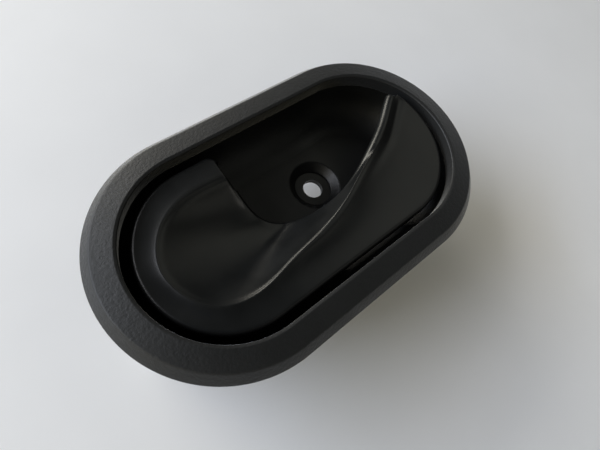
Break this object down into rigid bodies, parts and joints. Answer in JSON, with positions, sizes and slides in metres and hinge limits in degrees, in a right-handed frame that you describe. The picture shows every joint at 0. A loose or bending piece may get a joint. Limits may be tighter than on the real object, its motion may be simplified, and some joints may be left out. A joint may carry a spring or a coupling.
{
  "type": "inside car door handle",
  "caption": "Recessed inside car door handle: oval grained bezel round a finger tray with a screw hole, and a sprung scooped pull lever with a cable crank behind.",
  "frame": {"origin": "below the middle of the bezel, on the surface that the handle's back lies on", "axes": "+Z out of the door towards the hand, +X along the bezel's long axis from the hinge to the lip's free end, +Y across"},
  "size_m": [0.13, 0.074, 0.0361],
  "materials": {
    "grained_plastic": "fine grained, matt",
    "tray_plastic": "smooth satin",
    "foam": "open cell foam",
    "spring_steel": "blued spring steel",
    "satin_plastic": "smooth satin",
    "filled_nylon": "glass-filled, matt",
    "zinc_steel": "zinc plated",
    "bright_steel": "ground",
    "acetal": "smooth",
    "brass": "rolled",
    "spring_wire": "drawn wire",
    "rubber": "matt"
  },
  "bodies": {
    "body": {"bezel": "grained_plastic", "housing": "tray_plastic", "rear_gasket": "foam", "trim_clips": "spring_steel", "pivot_pin": "bright_steel", "upper_bush": "acetal", "lower_bush": "acetal", "pin_retainer": "spring_steel", "thrust_washers": "brass", "return_spring": "spring_wire", "spring_sleeve": "acetal", "rest_bumpers": "rubber", "open_buffer": "rubber", "cable_bracket": "zinc_steel", "bracket_screw": "zinc_steel", "slot_seal": "foam"},
    "lever": {"paddle": "satin_plastic", "lever_arm": "filled_nylon", "paddle_screws": "zinc_steel"},
    "anchor": {"cable_anchor": "bright_steel", "anchor_clip": "spring_steel"}
  },
  "joints": [
    {"name": "paddle_hinge", "type": "hinge", "parent": "body", "child": "lever", "pos_m": [-0.038, 0, 0.0215], "axis": [0, -1, 0], "range_deg": [0, 30], "stiffness_Nm_per_rad": 0.25, "springref_deg": -20.05, "deforming": ["return_spring"]},
    {"name": "anchor_swivel", "type": "hinge", "parent": "lever", "child": "anchor", "pos_m": [-0.038, 0, 0.005], "axis": [0, -1, 0], "range_deg": [-35, 5]}
  ],
  "couplings": [
    {"joint": "anchor_swivel", "follows": "paddle_hinge", "ratio": -1}
  ]
}
